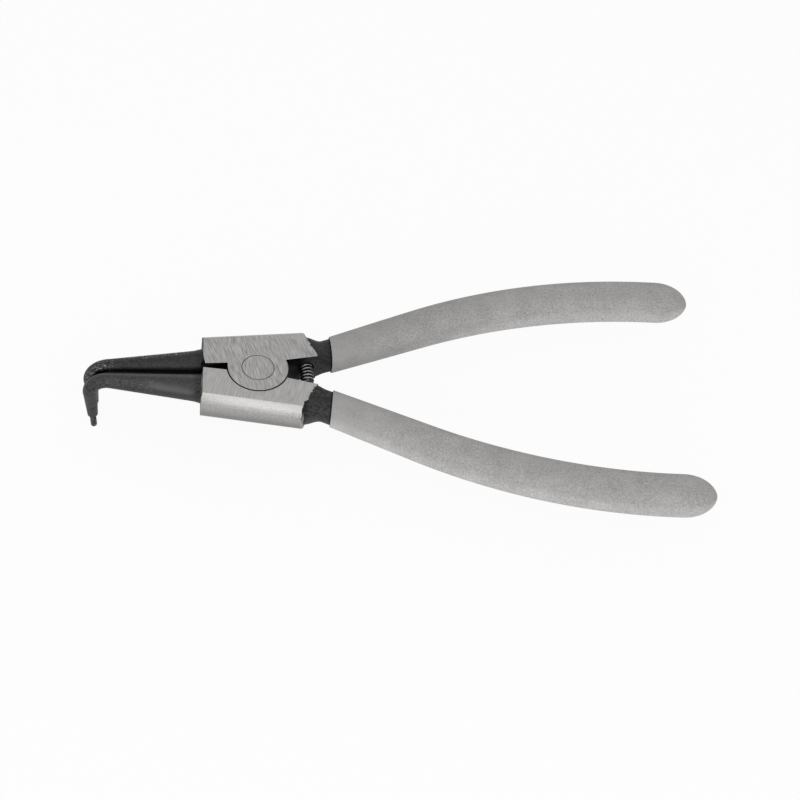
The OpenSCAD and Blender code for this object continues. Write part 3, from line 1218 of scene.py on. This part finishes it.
@dataclass(frozen=True)
class ReturnSpring:
    """Bowed coil spring between its two seats, in millimetres and degrees."""

    finish: WireFinish
    spring_d: float = 3.7
    wire_d: float = 0.65
    coils: int = 12
    wall_angle: float = 12.0
    boss_r: float = 8.1
    rear_gap: float = 6.3
    seat_at: float = 13.3
    seat_depth: float = 2.4
    play: float = 0.03
    closed_pitch: float = 0.689
    turn_points: int = 28
    ring_points: int = 14

    @property
    def seat(self) -> tuple[float, float]:
        """Middle of the floor of the upper seat.

        Returns:
            Its X and Y, in the plane of the pliers.
        """
        wall = math.radians(self.wall_angle)
        wall_x = math.sqrt(self.boss_r ** 2 - self.rear_gap ** 2 / 4)
        mouth_y = self.rear_gap / 2 + (self.seat_at - wall_x) * math.tan(wall)
        return (
            self.seat_at - self.seat_depth * math.sin(wall),
            mouth_y + self.seat_depth * math.cos(wall),
        )

    def sizes(self) -> dict[str, float]:
        """Gives the coil its sizes.

        Returns:
            The sizes in metres and radians, by the names of the tree's inputs.
        """
        wall = math.radians(self.wall_angle)
        seat_x, seat_y = self.seat
        arc_r = seat_y / math.sin(wall)
        lengths = {
            "Coil radius": (self.spring_d - self.wire_d) / 2,
            "Wire radius": self.wire_d / 2,
            "Arc radius": arc_r,
            "Arc centre": seat_x - arc_r * math.cos(wall),
            "Level": MIDDLE_Z,
            "Length": 2 * arc_r * wall - self.wire_d - 2 * self.play,
            "Start": self.play + self.wire_d / 2,
            "Closed pitch": self.closed_pitch,
        }
        scaled = {name: length * MM for name, length in lengths.items()}
        return scaled | {"Coils": float(self.coils), "Wall angle": wall}

    def build(self) -> bpy.types.Object:
        """Winds the spring between the two halves.

        Returns:
            The spring.
        """
        tree = ShapeTree("wound spring", self.sizes())
        points = self.coils * self.turn_points + 1
        line = tree.value("GeometryNodeCurvePrimitiveLine", inputs={"End": (1.0, 0.0, 0.0)})
        fine = tree.value("GeometryNodeResampleCurve", inputs={"Curve": line, "Count": points})
        coil = tree.moved(fine, self.coil_place(tree))
        ring_inputs = {"Resolution": self.ring_points, "Radius": tree.size("Wire radius")}
        ring = tree.value("GeometryNodeCurvePrimitiveCircle", {"mode": "RADIUS"}, ring_inputs)
        wire_inputs = {"Curve": coil, "Profile Curve": ring, "Fill Caps": True}
        wire = tree.value("GeometryNodeCurveToMesh", inputs=wire_inputs)
        # The crown share is stored for the wire's painted highlight.
        tree.close(tree.marked(wire, "crown", self.crown(tree)), self.finish.material())
        piece = tree.piece("coiled_spring")
        Side.LOWER.body
        Side.UPPER.body
        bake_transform(piece)
        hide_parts("return_spring")
        log.info("%s: %d faces between both halves", piece.name, len(piece.data.polygons))
        return piece

    @staticmethod
    def coil_place(tree: ShapeTree) -> Value:
        """Works out where each point of the wire's middle line lies, with a closed coil at both ends.

        Args:
            tree: the spring's tree.

        Returns:
            The place of a point, from its share of the line.
        """
        size = tree.size
        coils, pitch = size("Coils"), size("Closed pitch")
        turn = tree.value("GeometryNodeSplineParameter", output="Factor") * coils
        first = tree.smallest(turn, 1.0)
        last = tree.largest(turn - coils + 1.0, 0.0)
        open_pitch = (size("Length") - 2.0 * pitch) / (coils - 2.0)
        done = size("Start") + (first + last) * pitch + (turn - first - last) * open_pitch
        lean = size("Wall angle") - done / size("Arc radius")
        swing = turn * (2 * math.pi)
        out = size("Arc radius") + size("Coil radius") * tree.cosine(swing)
        x = size("Arc centre") + out * tree.cosine(lean)
        return tree.vector(x, out * tree.sine(lean), size("Level") + size("Coil radius") * tree.sine(swing))

    @staticmethod
    def crown(tree: ShapeTree) -> Value:
        """Says how far out on the wire each point lies.

        Args:
            tree: the spring's tree.

        Returns:
            The share, from -1 inside the coil to 1 on its crown.
        """
        x, y, z = tree.point()
        out = tree.reach(x - tree.size("Arc centre"), y) - tree.size("Arc radius")
        from_middle = tree.reach(out, z - tree.size("Level"))
        return (from_middle - tree.size("Coil radius")) / tree.size("Wire radius")


@dataclass(frozen=True)
class Grip:
    """One dipped grip: a skin round the tang with a rounded rim and a blunt nose.

    Sizes are in millimetres, degrees and powers. The skin is rolled from a flat sheet, whose rows run from
    the end of the tang forwards along the inner wall, over the lip, and back along the outside to the nose.
    """

    side: Side
    finish: bpy.types.Material
    # Rows of the sheet that get painted light on their underside.
    lit_rows: Span
    path: HandlePath = HandlePath()
    rim: float = 19.8
    rim_lean: float = 5.0
    rim_turn: float = 24.0
    tang_w: float = 8.9
    tang_t: float = 6.8
    tang_end: float = 123.2
    clear: float = 0.04
    rim_skin: float = 0.45
    side_skin: float = 1.4
    face_skin: float = 1.25
    skin_run: float = 85.0
    length: float = 128.2
    nose_run: float = 9.0
    nose_power: float = 1.1
    ring_power: float = 2.5
    under_angle: float = 41.0
    rows: int = 220
    columns: int = 96
    row_stops: tuple[float, ...] = (0.0, 0.03, 0.13, 0.2, 0.84, 1.0)

    def inputs(self) -> dict[str, float]:
        """Gives the grip its sizes.

        Returns:
            The sizes in metres and radians, by the names of the tree's inputs.
        """
        heading = math.radians(self.path.heading)
        lengths = {
            "Offset": self.path.offset,
            "Straight": self.path.straight,
            "Bow radius": self.path.bow_radius,
            "Rim": (self.rim + self.path.offset * math.sin(heading)) / math.cos(heading),
            "Rim turn": self.rim_turn,
            "Half width": self.tang_w / 2,
            "Half thickness": self.tang_t / 2,
            "Cavity end": self.tang_end + self.clear,
            "Clearance": self.clear,
            "Rim skin": self.rim_skin,
            "Side skin": self.side_skin,
            "Face skin": self.face_skin,
            "Skin run": self.skin_run,
            "Nose start": self.length - self.nose_run,
            "Nose run": self.nose_run,
            "Level": MIDDLE_Z,
        }
        return {name: length * MM for name, length in lengths.items()} | {
            "Heading": heading,
            "Rim slant": math.tan(heading - math.radians(self.rim_lean)),
            "Nose power": self.nose_power,
            "Corner": 2 / self.ring_power,
            "Side": float(self.side.sign),
        }

    def build(self) -> bpy.types.Object:
        """Grows the grip along its handle and dresses it.

        Returns:
            The grip.
        """
        tree = ShapeTree(f"{self.side.value} dipped grip", self.inputs())
        grid = {"Size X": 1.0, "Size Y": 1.0, "Vertices X": self.rows, "Vertices Y": self.columns + 1}
        sheet = tree.value("GeometryNodeMeshGrid", inputs=grid)
        # The underside share is stored for the grip's painted light.
        rolled = tree.moved(tree.marked(sheet, "underside", self.underside(tree)), self.skin_place(tree))
        merge = {"Geometry": rolled, "Distance": SEAM_MM * MM}
        closed = tree.value("GeometryNodeMergeByDistance", inputs=merge)
        if self.side is Side.UPPER:
            closed = tree.value("GeometryNodeFlipFaces", inputs={"Mesh": closed})
        tree.close(closed, self.finish)
        node = self.side.node("grip")
        return joined_to(tree.piece(f"{node}_skin"), self.side.body, node)

    @staticmethod
    def sheet_place(tree: ShapeTree) -> tuple[Value, Value]:
        """Row of each point of the flat sheet, from 0 to 1, and its angle round the grip."""
        across, around, _ = tree.point()
        return across + 0.5, (around + 0.5) * (2 * math.pi)

    def underside(self, tree: ShapeTree) -> Value:
        """Says how far each point of the flat sheet will face down and forwards, for the painted light on
        the grip's underside.

        Args:
            tree: the grip's tree.

        Returns:
            The share, from -1 to 1, and 0 inside the grip.
        """
        row, angle = self.sheet_place(tree)
        under = math.radians(self.under_angle)
        forwards = tree.cosine(angle) * (-self.side.sign * math.cos(under))
        facing = forwards - tree.sine(angle) * math.sin(under)
        return facing * tree.step(row, *self.lit_rows)

    def skin_place(self, tree: ShapeTree) -> Value:
        """Works out where each point of the skin lies.

        Args:
            tree: the grip's tree.

        Returns:
            The place of a point, from its place on the flat sheet.
        """
        size = tree.size
        row, angle = self.sheet_place(tree)
        end, wall, lip, run, tail = (
            tree.step(row, start, stop, smooth=False)
            for start, stop in zip(self.row_stops, self.row_stops[1:])
        )
        nose = tail * (math.pi / 2)
        lip_r = (size("Rim skin") - size("Clearance")) / 2.0
        lip_at = size("Rim") + lip_r
        length = (
            size("Cavity end")
            + (lip_at - size("Cavity end")) * wall
            - lip_r * tree.sine(lip * math.pi)
            + (size("Nose start") - lip_at) * run
            + size("Nose run") * tree.sine(nose)
        )
        left = 1.0 - tree.step(length, size("Rim"), size("Rim") + size("Skin run"), smooth=False)
        thick = lip * (1.0 - left * left)
        rise = size("Clearance") + lip_r * (1.0 - tree.cosine(lip * math.pi))
        scale = end * tree.largest(tree.cosine(nose), 0.0) ** size("Nose power")
        wide = (size("Half width") + rise + thick * (size("Side skin") - size("Rim skin"))) * scale
        high = (size("Half thickness") + rise + thick * (size("Face skin") - size("Rim skin"))) * scale
        out = wide * self.rounded(tree, tree.cosine(angle))
        up = high * self.rounded(tree, tree.sine(angle))
        turned = 1.0 - tree.step(length, size("Rim"), size("Rim") + size("Rim turn"))
        at = length + size("Rim slant") * turned * out
        return self.handle_place(tree, at, out, up)

    @staticmethod
    def rounded(tree: ShapeTree, share: Value) -> Value:
        """Squares up a sine or cosine, for a rounded section."""
        return tree.math("SIGN", share) * abs(share) ** tree.size("Corner")

    @staticmethod
    def handle_place(tree: ShapeTree, at: Value, out: Value, up: Value) -> Value:
        """Places a point beside the handle's middle line.

        Args:
            tree: the grip's tree.
            at: length along the middle line.
            out: distance from it in the plane of the pliers.
            up: distance from that plane.

        Returns:
            The place.
        """
        size = tree.size
        heading, bow = size("Heading"), size("Bow radius")
        turn = tree.largest(at - size("Straight"), 0.0) / bow
        along = tree.smallest(at, size("Straight")) + bow * tree.sine(turn)
        across = size("Offset") - bow * (1.0 - tree.cosine(turn))
        x = tree.cosine(heading) * along - tree.sine(heading) * across - tree.sine(heading - turn) * out
        y = tree.sine(heading) * along + tree.cosine(heading) * across + tree.cosine(heading - turn) * out
        return tree.vector(x, y * size("Side"), up + size("Level"))


@dataclass(frozen=True)
class PhotoCamera:
    """Camera at the photograph's viewing angle, in millimetres, degrees and pixels."""

    focal_px: float = 2349.3
    elevation: float = 48.706
    yaw: float = 9.507
    roll: float = -9.551
    pivot_px: tuple[float, float] = (257.04, 378.49)
    px_per_mm: float = 3.7273
    sensor: float = 36.0
    clip_start: float = 10.0

    def build(self, pivot: Vector) -> None:
        """Makes the camera and gives it to the scene.

        Args:
            pivot: middle of the joint, in metres.
        """
        tilt = math.radians(self.elevation)
        base = Matrix((
            (1, 0, 0),
            (0, math.sin(tilt), math.cos(tilt)),
            (0, -math.cos(tilt), math.sin(tilt)),
        ))
        turn = Matrix.Rotation(math.radians(self.yaw), 3, "Z")
        roll = Matrix.Rotation(math.radians(self.roll), 3, "Z")
        to_camera = roll @ base @ turn
        half = IMAGE_PX / 2
        seen = Vector((
            (self.pivot_px[0] - half) / self.px_per_mm,
            (half - self.pivot_px[1]) / self.px_per_mm,
            -self.focal_px / self.px_per_mm,
        ))
        data = bpy.data.cameras.new("photo camera")
        data.sensor_width = self.sensor
        data.lens = self.focal_px / IMAGE_PX * self.sensor
        data.clip_start = self.clip_start * MM
        camera = bpy.data.objects.new("photo camera", data)
        to_world = to_camera.transposed()
        camera.matrix_world = Matrix.Translation(pivot - to_world @ seen * MM) @ to_world.to_4x4()
        bpy.context.scene.collection.objects.link(camera)
        bpy.context.scene.camera = camera


@dataclass(frozen=True)
class Studio:
    """Pale floor, white surroundings and one broad soft lamp in front, in metres, degrees and watts."""

    floor_size: float = 6.0
    floor_level: float = 0.9
    floor_share: float = 0.92
    surround: float = 0.62
    lamp_from: float = 0.9
    lamp_elevation: float = 42.0
    lamp_azimuth: float = -4.0
    lamp_w: float = 1.1
    lamp_h: float = 1.1
    lamp_radiance: float = 1.2

    def build(self, floor_z: float, aim: Vector) -> None:
        """Builds the studio.

        Args:
            floor_z: height of the floor.
            aim: what the lamp looks at.
        """
        scene = bpy.context.scene
        scene.view_settings.view_transform = "Standard"
        self.white_world(scene)
        self.floor(floor_z)
        self.lamp(aim)

    @staticmethod
    def shown_white(tree: Tree) -> Value:
        """Tells what the camera sees, straight, mirrored or through glass.

        Args:
            tree: the tree of the floor or the surroundings.

        Returns:
            1 for such a ray, and 0 for any other.
        """
        rays = tree.node("ShaderNodeLightPath")
        seen = [Value(tree, rays.outputs[f"Is {kind} Ray"]) for kind in ("Camera", "Glossy", "Transmission")]
        return tree.largest(tree.largest(seen[0], seen[1]), seen[2])

    def white_world(self, scene: bpy.types.Scene) -> None:
        """Surrounds the scene with white that lights it softly.

        Args:
            scene: the scene.
        """
        world = bpy.data.worlds.new("white surroundings")
        world.use_nodes = True
        world.node_tree.nodes.clear()
        scene.world = world
        tree = Tree(world.node_tree)
        light, shown = (
            tree.value("ShaderNodeBackground", inputs={"Color": grey(1.0), "Strength": strength})
            for strength in (self.surround, 1.0)
        )
        mixed = tree.value("ShaderNodeMixShader", inputs={0: self.shown_white(tree), 1: light, 2: shown})
        tree.node("ShaderNodeOutputWorld", inputs={"Surface": mixed})

    def floor(self, floor_z: float) -> None:
        """Lays the pale floor, with a faint shadow.

        Args:
            floor_z: its height.
        """
        half = self.floor_size / 2
        corners = [(-half, -half), (half, -half), (half, half), (-half, half)]
        mesh = bpy.data.meshes.new("floor")
        mesh.from_pydata([(x, y, floor_z) for x, y in corners], [], [(0, 1, 2, 3)])
        tree = SurfaceTree("pale floor")
        matt = tree.value("ShaderNodeBsdfDiffuse", inputs={"Color": grey(self.floor_level)})
        white = tree.value("ShaderNodeEmission", inputs={"Color": grey(1.0), "Strength": 1.0})
        share = self.shown_white(tree) * self.floor_share
        mixed = tree.value("ShaderNodeMixShader", inputs={0: share, 1: matt, 2: white})
        tree.node("ShaderNodeOutputMaterial", inputs={"Surface": mixed})
        mesh.materials.append(tree.material)
        placed_object("floor", mesh)

    def lamp(self, aim: Vector) -> None:
        """Hangs the broad soft lamp in front of the pliers.

        Args:
            aim: what it looks at.
        """
        rise, turn = math.radians(self.lamp_elevation), math.radians(self.lamp_azimuth)
        way = Vector((math.sin(turn) * math.cos(rise), -math.cos(turn) * math.cos(rise), math.sin(rise)))
        data = bpy.data.lights.new("front soft box", "AREA")
        data.shape = "RECTANGLE"
        data.size, data.size_y = self.lamp_w, self.lamp_h
        data.energy = self.lamp_radiance * math.pi * self.lamp_w * self.lamp_h
        lamp = bpy.data.objects.new("front soft box", data)
        facing = way.to_track_quat("Z", "Y").to_matrix().to_4x4()
        lamp.matrix_world = Matrix.Translation(aim + way * self.lamp_from) @ facing
        lamp.visible_camera = False
        bpy.context.scene.collection.objects.link(lamp)


def lever_finishes() -> dict[Side, LeverFinish]:
    """Gives each lever its finish.

    Returns:
        The finishes, by side.
    """
    upper = LeverFinish(
        side=Side.UPPER,
        ground=GroundSteel(scratch_angle=107.0),
        forging=BlackOxide(dark=0.001, light=0.018),
        # Darker jaw greys than the lower jaw's: painted shade, as the lower jaw keeps the low front light
        # off it.
        jaw=BlackOxide(dark=0.012, light=0.026),
        wear=JawWear(strength=0.9, crest=0.0, least=0.04),
        front_ground=False,
        front_recess=1.1,
        ground_to=16.75,
        inner_reach=0.0,
        jaw_shade=1.0,
        leg_shade=0.8,
        neck_pale=0.0,
        tip=-44.0,
    )
    lower = LeverFinish(
        side=Side.LOWER,
        ground=GroundSteel(scratch_angle=75.0, dark=0.27),
        forging=BlackOxide(dark=0.004, light=0.033),
        # Lighter jaw greys than the upper jaw's: painted light from the low front.
        jaw=BlackOxide(dark=0.03, light=0.046),
        wear=JawWear(strength=0.17, crest=0.9, least=0.02, edge=(-24.0, -31.0)),
        front_ground=True,
        front_recess=0.5,
        ground_to=16.1,
        inner_reach=0.9,
        jaw_shade=0.15,
        leg_shade=0.0,
        # Painted light on the lower neck, paler towards its back face.
        neck_pale=0.4,
        tip=-38.0,
    )
    return {finish.side: finish for finish in (upper, lower)}


def main() -> None:
    """Builds the pliers piece by piece, then the studio."""
    logging.basicConfig(level=logging.INFO, format="%(name)s: %(message)s")
    finishes = lever_finishes()
    vinyl = DippedVinyl().material()
    pin_finish = PinFinish(BlackOxide(dark=0.016, light=0.034, specks=(0.5, 0.62)))
    # Rows of each grip that get painted light on their underside.
    lit_rows = {Side.UPPER: (0.1, 0.6), Side.LOWER: (0.1, 0.22)}
    for side in Side:
        Lever(side, finishes[side]).build()
        Grip(side, vinyl, lit_rows[side]).build()
        TipPin(side, pin_finish).build()
    Rivet(RivetFinish(GroundSteel(scratch_angle=98.0), finishes[Side.UPPER].forging)).build()
    ReturnSpring(WireFinish()).build()
    PhotoCamera().build(PIVOT)
    Studio().build(cad_box[0][2], PIVOT)


if __name__ == "__main__":
    main()
